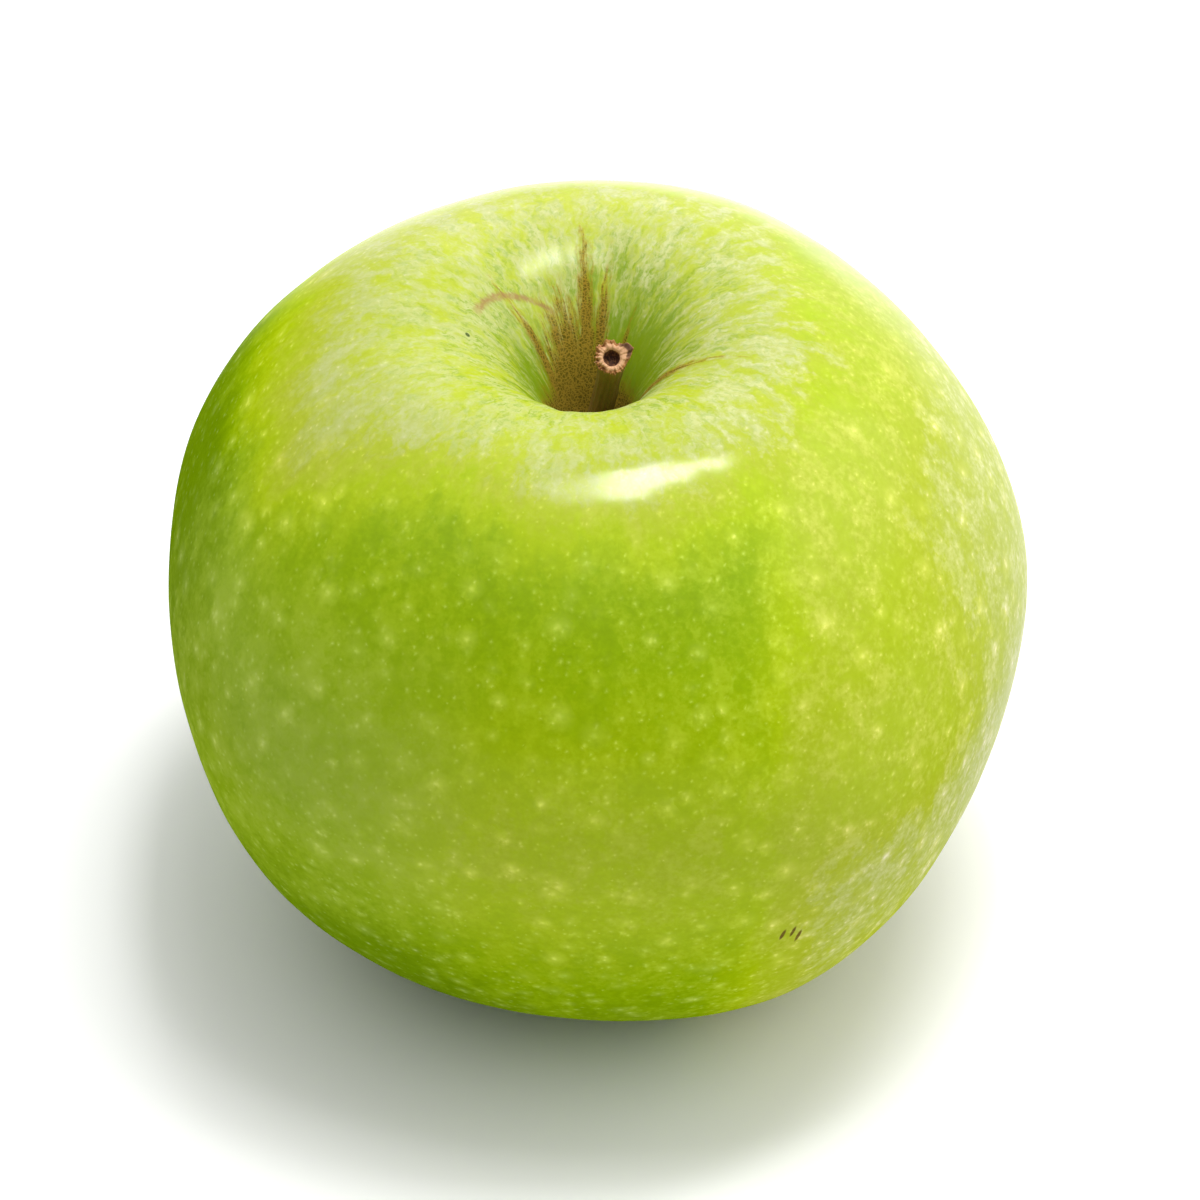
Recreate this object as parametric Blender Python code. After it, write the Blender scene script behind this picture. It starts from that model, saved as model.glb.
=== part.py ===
"""A green apple at its real size: the fruit, its stalk, and the dried remains of the flower at its base.

The fruit is one solid, drawn as a turned outline that five soft lobes push out of round, as the five
carpels inside do. It stands on the feet of those lobes. The stalk grows out of a socket at the bottom of
the stalk cavity. In the basin underneath, five dried sepals close over a small cup that holds the
withered stamens.

Lengths are in millimetres until a mesh is made. +Z is up. Azimuths are in degrees, seen from above:
0 faces the front (-Y) and 90 the right (+X). The origin is on the surface that the apple stands on,
under the middle of the fruit.
"""

import math

import bmesh
import bpy
from mathutils import Matrix, Vector

MM = 0.001

# The outline of the fruit, before its lobes.
HEIGHT = 68.0  # from the feet to the crown, the ring round the stalk cavity
CHEEK_RADIUS = 38.9
CHEEK_HEIGHT = 37.0  # where the fruit is widest
CROWN_RADIUS = 17.0
FEET_RADIUS = 13.0
CAVITY_DEPTH = 15.0
THROAT_RADIUS = 2.1  # the cavity's floor, where the stalk leaves it
BASIN_DEPTH = 8.0
CUP_RIM_RADIUS = 3.4
CUP_RADIUS = 2.3
CUP_DEPTH = 4.0
CUP_BEVEL = 1.0  # the height over which the rim narrows to the cup
# How the outline's curves leave and reach those points: the lengths of their handles.
THROAT_FLARE = (3.6, 5.5)  # out and up from the throat, as a place beside the core
CROWN_INWARDS, CROWN_OUTWARDS = 9.5, 8.9
CHEEK_UPWARDS, CHEEK_DOWNWARDS = 15.3, 9.4
FEET_OUTWARDS, FEET_INWARDS = 21.5, 5.0
CUP_FLARE = (4.4, 3.5)  # beside the core, and down from the cup's rim

# The five lobes: the azimuth of each, and how far it swells at mid height as a share of the radius.
LOBES = ((33.0, 0.065), (96.0, 0.033), (156.0, 0.060), (244.0, 0.057), (306.0, 0.071))
LOBE_WIDTH = 24.0  # degrees from a lobe's ridge to where it has mostly died away
FOOT_LIFT = 1.6  # how far the base rises between two feet
CROWN_DIP = 0.6  # how far the crown falls between two lobes
FOOT_FLAT = 0.35  # how much of each foot its own weight presses flat
LEAN_AT_BASE = 0.7  # the core isn't quite straight: its sideways shift at the base and at the crown
LEAN_AT_CROWN = -1.3

# The stalk.
STALK_RADIUS = 1.2
STALK_ROOT = 5.0  # the length held in the flesh
STALK_RISE = 13.4  # from the cavity's floor to the middle of the cut end
STALK_REACH = Vector((1.8, -3.3))  # how far the cut end leans right and forwards
STALK_BEND = Vector((1.2, 0.3, 6.0))  # the way it leaves the cavity's floor
STALK_END_STRAIGHT = 5.0  # the stretch that runs square to the cut end
STALK_SWELL_FROM = 0.62  # the share of its length at which it starts to thicken
STALK_END_RADIUS = 1.7
STALK_END_TILT = 38.0  # degrees from upright, towards the front
PITH_RADIUS = 0.75
PITH_DEPTH = 0.8
PITH_BEVEL = 0.3  # how much wider the pith's hollow is at its mouth
PITH_TAPER = 0.6  # how wide its floor is, as a share of the pith
CUT_DISH = 0.1  # how far the cut end sinks from its rim to the pith

# The dried flower.
SEPALS = 5
SEPAL_LENGTH = 6.6
SEPAL_WIDTH = 3.0
SEPAL_THICKNESS = 0.55
SEPAL_REACH = 2.9  # from the cup's middle to where each sepal grows
SEPAL_LEAN = 3.4  # how far its middle leans in over the cup, and how far its tip curls out
SEPAL_CURL = 1.2
SEPAL_SLANT = 0.75  # how far a sepal reaches down, as a share of its length
STAMENS = 10
STAMEN_LENGTH = 3.4
THREAD_GAP = 0.17  # half the gap between two threads where they leave the disc
THREAD_TAPER = 0.55  # a thread's width at its tip, as a share of its width at the disc
DISC_THICKNESS = 0.6
GAP = 0.3  # between one piece and the next

# How finely the shapes are cut.
ROUND_STEPS = 80
ARC_STEPS = 10
INNERMOST = 0.3  # the radius of the smallest ring at each end of the fruit
STALK_SIDES = 14
STALK_RINGS = 11
SEPAL_STEPS = 7

SKIN_GREEN = (0.36, 0.50, 0.02, 1.0)
STALK_BROWN = (0.20, 0.11, 0.035, 1.0)
SEPAL_BROWN = (0.17, 0.13, 0.075, 1.0)
STAMEN_BROWN = (0.07, 0.04, 0.02, 1.0)


def material(name, colour, roughness):
    made = bpy.data.materials.new(name)
    made.use_nodes = True
    shader = made.node_tree.nodes["Principled BSDF"]
    shader.inputs["Base Color"].default_value = colour
    shader.inputs["Roughness"].default_value = roughness
    shader.inputs["Metallic"].default_value = 0.0
    made.diffuse_color = colour
    return made


def solid(name, mesh, finish, core):
    """One named object from a bmesh in millimetres, carried by the core and shaded smooth."""
    bmesh.ops.recalc_face_normals(mesh, faces=mesh.faces)
    mesh.transform(Matrix.Scale(MM, 4))
    data = bpy.data.meshes.new(name)
    mesh.to_mesh(data)
    mesh.free()
    data.materials.append(finish)
    data.shade_smooth()
    data.set_sharp_from_angle(angle=math.radians(50))
    piece = bpy.data.objects.new(name, data)
    bpy.context.scene.collection.objects.link(piece)
    piece.parent = core
    return piece


def arc(start, start_handle, end_handle, end, steps):
    """Points along a cubic Bezier curve, without its last point, so that arcs join end to end."""
    points = []
    for i in range(steps):
        t = i / steps
        back = 1 - t
        points.append(
            back**3 * Vector(start)
            + 3 * back**2 * t * Vector(start_handle)
            + 3 * back * t**2 * Vector(end_handle)
            + t**3 * Vector(end)
        )
    return points


def eased(x):
    """0 below 0, 1 above 1, and a smooth step between."""
    x = min(max(x, 0.0), 1.0)
    return x * x * (3 - 2 * x)


def skin_of(rings):
    """A bmesh of quads between closed rings of points, with a fan of triangles closing each end."""
    mesh = bmesh.new()
    loops = [[mesh.verts.new(point) for point in ring] for ring in rings]
    for lower, upper in zip(loops, loops[1:]):
        for i in range(len(lower)):
            after = (i + 1) % len(lower)
            mesh.faces.new((lower[i], lower[after], upper[after], upper[i]))
    for ring in (loops[0], loops[-1]):
        middle = mesh.verts.new(sum((v.co for v in ring), Vector()) / len(ring))
        for i in range(len(ring)):
            mesh.faces.new((ring[i], ring[(i + 1) % len(ring)], middle))
    return mesh


def fruit_outline():
    """(radius, height) points from the stalk's socket, over the crown and cheek, to the flower's cup.

    Each comes with its station: 0 at the cavity's floor, 1 on the crown, 2 on the cheek, 3 at the feet
    and 4 on the cup's rim. The arcs run level at the crown and feet, and upright at the cheek.
    """
    floor = HEIGHT - CAVITY_DEPTH
    socket = STALK_RADIUS + GAP
    arcs = (
        arc(
            (THROAT_RADIUS, floor),
            (THROAT_FLARE[0], floor + THROAT_FLARE[1]),
            (CROWN_RADIUS - CROWN_INWARDS, HEIGHT),
            (CROWN_RADIUS, HEIGHT),
            ARC_STEPS,
        ),
        arc(
            (CROWN_RADIUS, HEIGHT),
            (CROWN_RADIUS + CROWN_OUTWARDS, HEIGHT),
            (CHEEK_RADIUS, CHEEK_HEIGHT + CHEEK_UPWARDS),
            (CHEEK_RADIUS, CHEEK_HEIGHT),
            ARC_STEPS,
        ),
        arc(
            (CHEEK_RADIUS, CHEEK_HEIGHT),
            (CHEEK_RADIUS, CHEEK_HEIGHT - CHEEK_DOWNWARDS),
            (FEET_RADIUS + FEET_OUTWARDS, 0.0),
            (FEET_RADIUS, 0.0),
            ARC_STEPS + 2,
        ),
        arc(
            (FEET_RADIUS, 0.0),
            (FEET_RADIUS - FEET_INWARDS, 0.0),
            (CUP_FLARE[0], BASIN_DEPTH - CUP_FLARE[1]),
            (CUP_RIM_RADIUS, BASIN_DEPTH),
            ARC_STEPS - 2,
        ),
    )
    socket_floor = floor - STALK_ROOT
    points = [(INNERMOST, socket_floor, 0.0), (socket, socket_floor, 0.0), (socket, floor, 0.0)]
    for number, stretch in enumerate(arcs):
        points += [(p.x, p.y, number + i / len(stretch)) for i, p in enumerate(stretch)]
    cup_top = BASIN_DEPTH + CUP_DEPTH
    points += [(CUP_RIM_RADIUS, BASIN_DEPTH, 4.0), (CUP_RADIUS, BASIN_DEPTH + CUP_BEVEL, 4.0)]
    points += [(CUP_RADIUS, cup_top, 4.0), (INNERMOST, cup_top, 4.0)]
    return points


def off_ridge(azimuth, ridge):
    """1 on a lobe's ridge, dying away to either side."""
    away = (azimuth - ridge + 180) % 360 - 180
    return math.exp(-((away / LOBE_WIDTH) ** 2))


def fruit_point(radius, height, station, azimuth):
    """A point of the turned outline, moved to where the lobes, feet, crown and lean put it."""
    up = height / HEIGHT
    inside = eased(station) * eased(4 - station)  # 0 in the socket and the cup
    swell = sum(size * off_ridge(azimuth, ridge) for ridge, size in LOBES)
    on_lobe = max(off_ridge(azimuth, ridge) for ridge, _ in LOBES)
    radius *= 1 + 4 * up * (1 - up) * inside * swell
    height += FOOT_LIFT * (1 - on_lobe) * math.exp(-(((station - 3) / 0.35) ** 2))
    height -= CROWN_DIP * (1 - on_lobe) * math.exp(-(((station - 1) / 0.4) ** 2))
    lean = LEAN_AT_BASE * (1 - up) ** 2 + LEAN_AT_CROWN * up**2
    turn = math.radians(azimuth)
    x = radius * math.sin(turn) + lean
    y = -radius * math.cos(turn)
    return Vector((x, y, max(height - FOOT_FLAT, 0.0)))


def fruit(core):
    """The whole apple in one solid, from the stalk's socket to the cup of the flower."""
    step = 360 / ROUND_STEPS
    rings = [
        [fruit_point(radius, height, station, i * step) for i in range(ROUND_STEPS)]
        for radius, height, station in fruit_outline()
    ]
    return solid("fruit", skin_of(rings), material("apple_skin", SKIN_GREEN, 0.3), core)


def axis_at(height):
    """Where the core's line passes at this height."""
    up = height / HEIGHT
    lean = LEAN_AT_BASE * (1 - up) ** 2 + LEAN_AT_CROWN * up**2
    return Vector((lean, 0.0, height - FOOT_FLAT))


def stalk(core):
    """A woody stalk: straight in its socket, bent forwards above it, and thicker at the cut end."""
    floor = HEIGHT - CAVITY_DEPTH
    root = axis_at(floor - STALK_ROOT + GAP)
    mouth = axis_at(floor)
    root.x = mouth.x
    tip = mouth + Vector((*STALK_REACH, STALK_RISE))
    tilt = math.radians(STALK_END_TILT)
    facing = Vector((0.0, -math.sin(tilt), math.cos(tilt)))
    bend = arc(mouth, mouth + STALK_BEND, tip - STALK_END_STRAIGHT * facing, tip, STALK_RINGS - 1) + [tip]
    centres = [root, root.lerp(mouth, 0.5)] + bend
    rings = []
    for i, centre in enumerate(centres):
        along = centres[min(i + 1, len(centres) - 1)] - centres[max(i - 1, 0)]
        if i == len(centres) - 1:
            along = facing
        end = eased((i / (len(centres) - 1) - STALK_SWELL_FROM) / (1 - STALK_SWELL_FROM))
        radius = STALK_RADIUS + (STALK_END_RADIUS - STALK_RADIUS) * end
        rings.append(ring_across(centre, along, radius))
    rings.append(ring_across(tip - CUT_DISH * facing, facing, PITH_RADIUS + PITH_BEVEL))
    rings.append(ring_across(tip - PITH_DEPTH * facing, facing, PITH_RADIUS * PITH_TAPER))
    return solid("stalk", skin_of(rings), material("stalk_wood", STALK_BROWN, 0.75), core)


def ring_across(centre, along, radius):
    """A circle of points round a centre, square to a direction, starting at the front."""
    along = along.normalized()
    side = Vector((1, 0, 0)) - along.x * along
    side.normalize()
    front = along.cross(side)
    turns = [math.tau * i / STALK_SIDES for i in range(STALK_SIDES)]
    return [centre + radius * (math.cos(t) * side + math.sin(t) * front) for t in turns]


def sepal(number, core, finish):
    """One dried sepal: a small pointed leaf that hangs from the cup's rim, with its tip curled out."""
    mesh = bmesh.new()
    rim = BASIN_DEPTH - FOOT_FLAT
    rows = []
    for i in range(SEPAL_STEPS):
        t = i / (SEPAL_STEPS - 1)
        half_width = 0.5 * SEPAL_WIDTH * (1 - t) ** 0.7 * (1 + 0.5 * t) + 0.15
        out = SEPAL_REACH - SEPAL_LEAN * t * (1 - t) + SEPAL_CURL * t**3
        down = rim - GAP - SEPAL_SLANT * SEPAL_LENGTH * t
        half_thick = 0.5 * SEPAL_THICKNESS * (1 - 0.4 * t)
        slope = (-SEPAL_LEAN * (1 - 2 * t) + 3 * SEPAL_CURL * t * t, -SEPAL_SLANT * SEPAL_LENGTH)
        square = Vector((-slope[1], 0.0, slope[0])).normalized()
        middle = Vector((out, 0.0, down))
        row = []
        for across, proud in ((-1, 0.0), (0, 0.35), (1, 0.0)):
            spot = middle + Vector((0, across * half_width, 0)) + proud * half_width * square * 0.5
            outer = mesh.verts.new(spot + half_thick * square)
            inner = mesh.verts.new(spot - half_thick * square)
            row.append((outer, inner))
        rows.append(row)
    for above, below in zip(rows, rows[1:]):
        for left, right, low_left, low_right in zip(above, above[1:], below, below[1:]):
            mesh.faces.new((left[0], right[0], low_right[0], low_left[0]))
            mesh.faces.new((left[1], low_left[1], low_right[1], right[1]))
        for edge in (0, -1):
            mesh.faces.new((above[edge][0], below[edge][0], below[edge][1], above[edge][1]))
    for row in (rows[0], rows[-1]):
        for left, right in zip(row, row[1:]):
            mesh.faces.new((left[0], right[0], right[1], left[1]))
    azimuth = math.radians(LOBES[0][0] + (number + 0.5) * 360 / SEPALS)
    mesh.transform(Matrix.Rotation(azimuth - math.pi / 2, 4, "Z"))
    mesh.transform(Matrix.Translation((axis_at(0).x, 0, 0)))
    return solid(f"sepal_{number + 1}", mesh, finish, core)


def stamens(core):
    """The withered stamens: a small disc at the top of the cup with dry threads hanging from it."""
    mesh = bmesh.new()
    top = BASIN_DEPTH + CUP_DEPTH - FOOT_FLAT - GAP
    radius = CUP_RADIUS - GAP
    place = Matrix.Translation((axis_at(0).x, 0, top - 0.5 * DISC_THICKNESS))
    bmesh.ops.create_cone(
        mesh,
        segments=STAMENS,
        radius1=radius,
        radius2=radius,
        depth=DISC_THICKNESS,
        cap_ends=True,
        cap_tris=True,
        matrix=place,
    )
    threads = [face for face in mesh.faces if face.normal.z < -0.9]
    bmesh.ops.inset_individual(mesh, faces=threads, thickness=THREAD_GAP)
    for number, face in enumerate(threads):
        length = STAMEN_LENGTH * (0.8 + 0.2 * math.cos(2.4 * number))
        pulled = bmesh.ops.extrude_face_region(mesh, geom=[face])["geom"]
        ends = [item for item in pulled if isinstance(item, bmesh.types.BMVert)]
        middle = sum((v.co for v in ends), Vector()) / len(ends)
        for vert in ends:
            vert.co = middle + THREAD_TAPER * (vert.co - middle) + Vector((0, 0, -length))
        mesh.faces.remove(face)
    return solid("stamens", mesh, material("dry_stamens", STAMEN_BROWN, 0.9), core)


def main():
    for old in list(bpy.data.objects):
        bpy.data.objects.remove(old)
    core = bpy.data.objects.new("core", None)
    bpy.context.scene.collection.objects.link(core)
    whole = fruit(core)
    stalk(core)
    dry_leaf = material("dry_sepal", SEPAL_BROWN, 0.9)
    for number in range(SEPALS):
        sepal(number, core, dry_leaf)
    stamens(core)
    corners = [Vector(corner) for corner in whole.bound_box]
    low, high = corners[0], corners[6]
    core.location = -0.5 * Vector((low.x + high.x, low.y + high.y, 0.0))


main()
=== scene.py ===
"""The looks of a green apple: its waxy skin, woody stalk and dried flower, on a pale studio floor.

Shapes are worked out in millimetres and made in metres. Azimuths are in degrees seen from above, from
the front (-Y) round to the right (+X). On every piece the attribute "growth" says where a point of the
surface sits on the plant: which way it faces round the piece's own line (X and Y) and how far along that
line it grew (Z).
"""

import math
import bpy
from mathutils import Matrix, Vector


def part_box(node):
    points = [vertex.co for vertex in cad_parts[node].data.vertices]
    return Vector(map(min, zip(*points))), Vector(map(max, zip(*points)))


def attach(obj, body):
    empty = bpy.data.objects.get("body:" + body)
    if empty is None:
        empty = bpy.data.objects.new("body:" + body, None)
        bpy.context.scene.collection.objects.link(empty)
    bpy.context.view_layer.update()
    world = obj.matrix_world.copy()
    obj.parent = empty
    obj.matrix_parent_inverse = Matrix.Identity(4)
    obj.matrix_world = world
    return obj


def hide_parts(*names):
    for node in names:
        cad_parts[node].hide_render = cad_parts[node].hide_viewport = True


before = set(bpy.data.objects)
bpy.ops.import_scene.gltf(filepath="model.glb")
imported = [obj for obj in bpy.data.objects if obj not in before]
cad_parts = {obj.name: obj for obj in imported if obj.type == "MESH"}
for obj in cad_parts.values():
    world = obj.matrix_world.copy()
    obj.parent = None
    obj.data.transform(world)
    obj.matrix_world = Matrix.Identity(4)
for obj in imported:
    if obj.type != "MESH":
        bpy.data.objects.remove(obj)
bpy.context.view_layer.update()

from types import SimpleNamespace

import bpy
import numpy as np
from mathutils import Matrix, Vector, noise

# ---------------------------------------------------------------------------------------------------
# The fruit. One grown body of flesh under a waxed skin: a turned outline, pushed out by five soft lobes
# over the five carpels inside. The skin is drawn in at the top round the stalk and gathered at the
# bottom round the flower's cup, so both hollows are ribbed. It stands on the feet of its lobes.

MM = 0.001
fruit_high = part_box("fruit")[1]
FOOT_FLAT = 0.35  # how much of each foot the apple's weight presses flat
HEIGHT = fruit_high.z / MM + FOOT_FLAT
CHEEK_RADIUS, CHEEK_HEIGHT = 38.9, 37.0
CROWN_RADIUS, CAVITY_DEPTH, THROAT_RADIUS = 17.0, 15.0, 2.1
FEET_RADIUS, BASIN_DEPTH, CUP_RIM_RADIUS = 13.0, 8.0, 3.4
CUP_RADIUS, CUP_DEPTH = 2.3, 4.0
# How the outline's curves leave and reach those points: the lengths of their handles.
THROAT_FLARE = (3.6, 5.5)  # beside the core, and up from the throat
CROWN_INWARDS, CROWN_OUTWARDS = 9.5, 8.9
CHEEK_UPWARDS, CHEEK_DOWNWARDS = 15.3, 9.4
FEET_OUTWARDS, FEET_INWARDS = 21.5, 5.0
CUP_FLARE = (4.4, 3.5)  # beside the core, and down from the cup's rim
SOCKET_DEPTH, SOCKET_GAP = 4.0, 0.12  # the hole that the stalk grows from, and its room round the stalk
SOCKET_LIP = 0.8  # the height in which the skin turns down into it
CUP_LIP, CUP_BEVEL = 0.5, 1.4  # the two steps in which the rim narrows to the cup
INNERMOST = 0.3  # the radius of the smallest ring at each end
# Each lobe: its azimuth, and how far it swells at mid height as a share of the radius.
LOBES = ((33.0, 0.065), (96.0, 0.033), (156.0, 0.060), (244.0, 0.057), (306.0, 0.071))
LOBE_WIDTH = 24.0
FOOT_LIFT, CROWN_DIP = 1.6, 0.6
LEAN_AT_BASE, LEAN_AT_CROWN = 0.7, -1.3
STALK_RADIUS = 1.2
STEPS_ROUND, ARC_STEPS, BASIN_STEPS = 330, 84, 40
# How far the skin rises and falls: on the cheeks, in the ribs of the cavity, and in those of the basin.
CHEEK_WAVE, CHEEK_RIPPLE = 0.16, 0.05
CAVITY_RIB, CAVITY_CREASE = 0.34, 0.10
BASIN_RIB, BASIN_CREASE, BASIN_FOLD = 0.80, 0.30, 0.55


def arc(start, start_handle, end_handle, end, steps):
    """Points along a cubic Bezier curve, without its last point."""
    t = np.linspace(0, 1, steps, endpoint=False)[:, None]
    shares = ((1 - t) ** 3, 3 * (1 - t) ** 2 * t, 3 * (1 - t) * t**2, t**3)
    corners = (start, start_handle, end_handle, end)
    return sum(share * np.array(corner, float) for share, corner in zip(shares, corners))


def eased(x):
    """0 below 0, 1 above 1, and a smooth step between."""
    x = np.clip(x, 0.0, 1.0)
    return x * x * (3 - 2 * x)


def bump_at(x, middle, width):
    """1 at the middle, dying away to either side."""
    return np.exp(-(((x - middle) / width) ** 2))


def off_ridge(azimuth, ridge):
    """1 on a lobe's ridge, dying away to either side."""
    return bump_at((azimuth - ridge + 180) % 360, 180, LOBE_WIDTH)


def fruit_outline():
    """Radius, height and station of each point down the outline, from the stalk's socket to the cup.

    The station is 0 at the cavity's floor, 1 on the crown, 2 on the cheek, 3 at the feet and 4 at the cup.
    """
    floor = HEIGHT - CAVITY_DEPTH
    throat, crown, cheek = (THROAT_RADIUS, floor), (CROWN_RADIUS, HEIGHT), (CHEEK_RADIUS, CHEEK_HEIGHT)
    feet, cup_rim = (FEET_RADIUS, 0.0), (CUP_RIM_RADIUS, BASIN_DEPTH)
    over_throat = (THROAT_FLARE[0], floor + THROAT_FLARE[1])
    before_crown = (CROWN_RADIUS - CROWN_INWARDS, HEIGHT)
    after_crown = (CROWN_RADIUS + CROWN_OUTWARDS, HEIGHT)
    over_cheek = (CHEEK_RADIUS, CHEEK_HEIGHT + CHEEK_UPWARDS)
    under_cheek = (CHEEK_RADIUS, CHEEK_HEIGHT - CHEEK_DOWNWARDS)
    before_feet, after_feet = (FEET_RADIUS + FEET_OUTWARDS, 0.0), (FEET_RADIUS - FEET_INWARDS, 0.0)
    under_rim = (CUP_FLARE[0], BASIN_DEPTH - CUP_FLARE[1])
    arcs = (
        arc(throat, over_throat, before_crown, crown, ARC_STEPS),
        arc(crown, after_crown, over_cheek, cheek, ARC_STEPS),
        arc(cheek, under_cheek, before_feet, feet, ARC_STEPS),
        arc(feet, after_feet, under_rim, cup_rim, BASIN_STEPS),
    )
    socket, socket_floor = STALK_RADIUS + SOCKET_GAP, floor - SOCKET_DEPTH
    rows = [(INNERMOST, socket_floor, 0), (socket, socket_floor, 0), (socket, floor - SOCKET_LIP, 0)]
    for number, stretch in enumerate(arcs):
        rows += [(r, z, number + i / len(stretch)) for i, (r, z) in enumerate(stretch)]
    cup_top = BASIN_DEPTH + CUP_DEPTH
    rows += [(CUP_RIM_RADIUS, BASIN_DEPTH, 4), (CUP_RADIUS + CUP_LIP, BASIN_DEPTH + CUP_LIP, 4)]
    rows += [(CUP_RADIUS, BASIN_DEPTH + CUP_BEVEL, 4), (CUP_RADIUS, cup_top, 4), (INNERMOST, cup_top, 4)]
    return np.array(rows, float).T[:, :, None]


def lean_at(height):
    """How far the core stands to the right at this height, because it isn't quite straight."""
    up = height / HEIGHT
    return LEAN_AT_BASE * (1 - up) ** 2 + LEAN_AT_CROWN * up**2


def uneven(points, spacing, seed):
    """Smooth chance rises and falls, about -1 to 1, this many millimetres apart."""
    flat = points.reshape(-1, 3) / spacing + seed
    return np.array([noise.noise(spot) for spot in flat.tolist()]).reshape(points.shape[:-1])


def ridges_round(azimuth, station, count, seed):
    """Chance ridges that run from the stalk to the flower, about this many of them round the fruit."""
    turn = np.radians(azimuth)
    radius = count / math.tau
    spots = np.stack([radius * np.sin(turn), radius * np.cos(turn), station], -1)
    return uneven(spots, 1.0, seed)


def fruit_grid():
    """The fruit's points in millimetres, row by row down the outline, with their azimuth and station."""
    radius, height, station = fruit_outline()
    azimuth = np.arange(STEPS_ROUND)[None, :] * 360 / STEPS_ROUND
    up = height / HEIGHT
    skin = eased(station) * eased(4 - station)
    swell = sum(size * off_ridge(azimuth, ridge) for ridge, size in LOBES)
    on_lobe = np.maximum.reduce([off_ridge(azimuth, ridge) for ridge, _ in LOBES])
    radius = radius * (1 + 4 * up * (1 - up) * skin * swell)
    height = height + FOOT_LIFT * (1 - on_lobe) * bump_at(station, 3, 0.35)
    height = height - CROWN_DIP * (1 - on_lobe) * bump_at(station, 1, 0.4)
    turn = np.radians(azimuth)
    lean = lean_at(up * HEIGHT)
    points = np.stack([radius * np.sin(turn) + lean, -radius * np.cos(turn), height - FOOT_FLAT], -1)
    return points, azimuth + 0 * station, station + 0 * azimuth


def outward(points):
    """The unit normals of a grid that is closed round its second axis."""
    down = np.gradient(points, axis=0)
    across = np.roll(points, -1, axis=1) - np.roll(points, 1, axis=1)
    normal = np.cross(down, across)
    return normal / np.maximum(np.linalg.norm(normal, axis=-1, keepdims=True), 1e-9)


points, azimuth, station = fruit_grid()
core_place = 0.5 * (points.min((0, 1)) + points.max((0, 1)))
core_place[2] = 0.0
points -= core_place
on_skin = eased(station / 0.25) * eased((4 - station) / 0.15)
in_cavity = eased((station - 0.08) / 0.3) * eased((1.05 - station) / 0.5)
in_basin = eased((station - 3.1) / 0.5) * eased((4 - station) / 0.12)
lift = on_skin * CHEEK_WAVE * uneven(points, 13.0, 3.1)
lift += on_skin * CHEEK_RIPPLE * uneven(points, 5.0, 8.7)
lift += in_cavity * CAVITY_RIB * ridges_round(azimuth, 1.2 * station, 16, 2.3)
lift += in_cavity * CAVITY_CREASE * ridges_round(azimuth, 2.5 * station, 52, 6.1)
lift += in_basin * BASIN_RIB * ridges_round(azimuth, 1.2 * station, 26, 4.9)
lift += in_basin * BASIN_CREASE * ridges_round(azimuth, 2.0 * station, 60, 7.3)
lift += in_basin * BASIN_FOLD * np.cos(np.radians(5 * (azimuth - LOBES[0][0])))
points += outward(points) * lift[:, :, None]
points[:, :, 2] = np.maximum(points[:, :, 2], 0.0)


def grown_piece(name, *parts):
    """An object of closed bodies. Each part is a grid of points in millimetres, with its growth."""
    spots, grew, faces = [], [], []
    for grid, growth in parts:
        rows, steps = grid.shape[:2]
        first = len(spots)
        index = first + np.arange(rows * steps).reshape(rows, steps)
        after = np.roll(index, -1, axis=1)
        sides = np.stack([index[:-1], index[1:], after[1:], after[:-1]], -1)
        faces += sides.reshape(-1, 4).tolist()
        top, bottom = first + rows * steps, first + rows * steps + 1
        faces += [[after[0, i], top, index[0, i]] for i in range(steps)]
        faces += [[index[-1, i], bottom, after[-1, i]] for i in range(steps)]
        for values, gathered in ((grid, spots), (growth, grew)):
            gathered += values.reshape(-1, 3).tolist()
            gathered += [values[0].mean(0).tolist(), values[-1].mean(0).tolist()]
    mesh = bpy.data.meshes.new(name)
    mesh.from_pydata((np.array(spots) * MM).tolist(), [], faces)
    growth = mesh.attributes.new("growth", "FLOAT_VECTOR", "POINT")
    growth.data.foreach_set("vector", np.array(grew).ravel())
    mesh.shade_smooth()
    piece = bpy.data.objects.new(name, mesh)
    bpy.context.scene.collection.objects.link(piece)
    return piece


turn = np.radians(azimuth)
growth = np.stack([np.sin(turn), -np.cos(turn), station], -1)
fruit = grown_piece("apple_fruit", (points, growth))


# The skin: a green ground that turns pale yellow on the crown and right cheek, streaked with
# chlorophyll where the skin is drawn into the cavity, dotted with pale pores, and corked with brown
# russet round the stalk, all under a thin natural wax. Painted into its colour too are shade on the
# left side, reflections on the back of the crown, the far right and the lower left, and bounced light low
# right.


def feed(tree, socket, source):
    """Gives an input a link or a plain value, or leaves it as it is."""
    if isinstance(source, bpy.types.NodeSocket):
        tree.links.new(source, socket)
    elif source is not None:
        socket.default_value = source


def add(tree, kind, *sources, **settings):
    """One shader node, with its inputs fed in order."""
    node = tree.nodes.new("ShaderNode" + kind)
    for name, value in settings.items():
        setattr(node, name, value)
    for socket, source in zip(node.inputs, sources):
        feed(tree, socket, source)
    return node


def maths(tree, operation, *sources):
    return add(tree, "Math", *sources, operation=operation).outputs[0]


def plus(tree, first, second):
    return maths(tree, "ADD", first, second)


def times(tree, first, second):
    return maths(tree, "MULTIPLY", first, second)


def blend(tree, value, share, rest):
    """This share of one value, added to the rest."""
    return maths(tree, "MULTIPLY_ADD", value, share, rest)


def vectors(tree, operation, *sources):
    node = add(tree, "VectorMath", *sources, operation=operation)
    return node.outputs[1 if operation in ("LENGTH", "DOT_PRODUCT", "DISTANCE") else 0]


def ease(tree, value, low, high, at_low=0.0, at_high=1.0):
    """value from low to high, turned into a smooth step from at_low to at_high."""
    node = add(tree, "MapRange", value, low, high, at_low, at_high, interpolation_type="SMOOTHSTEP")
    return node.outputs[0]


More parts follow.
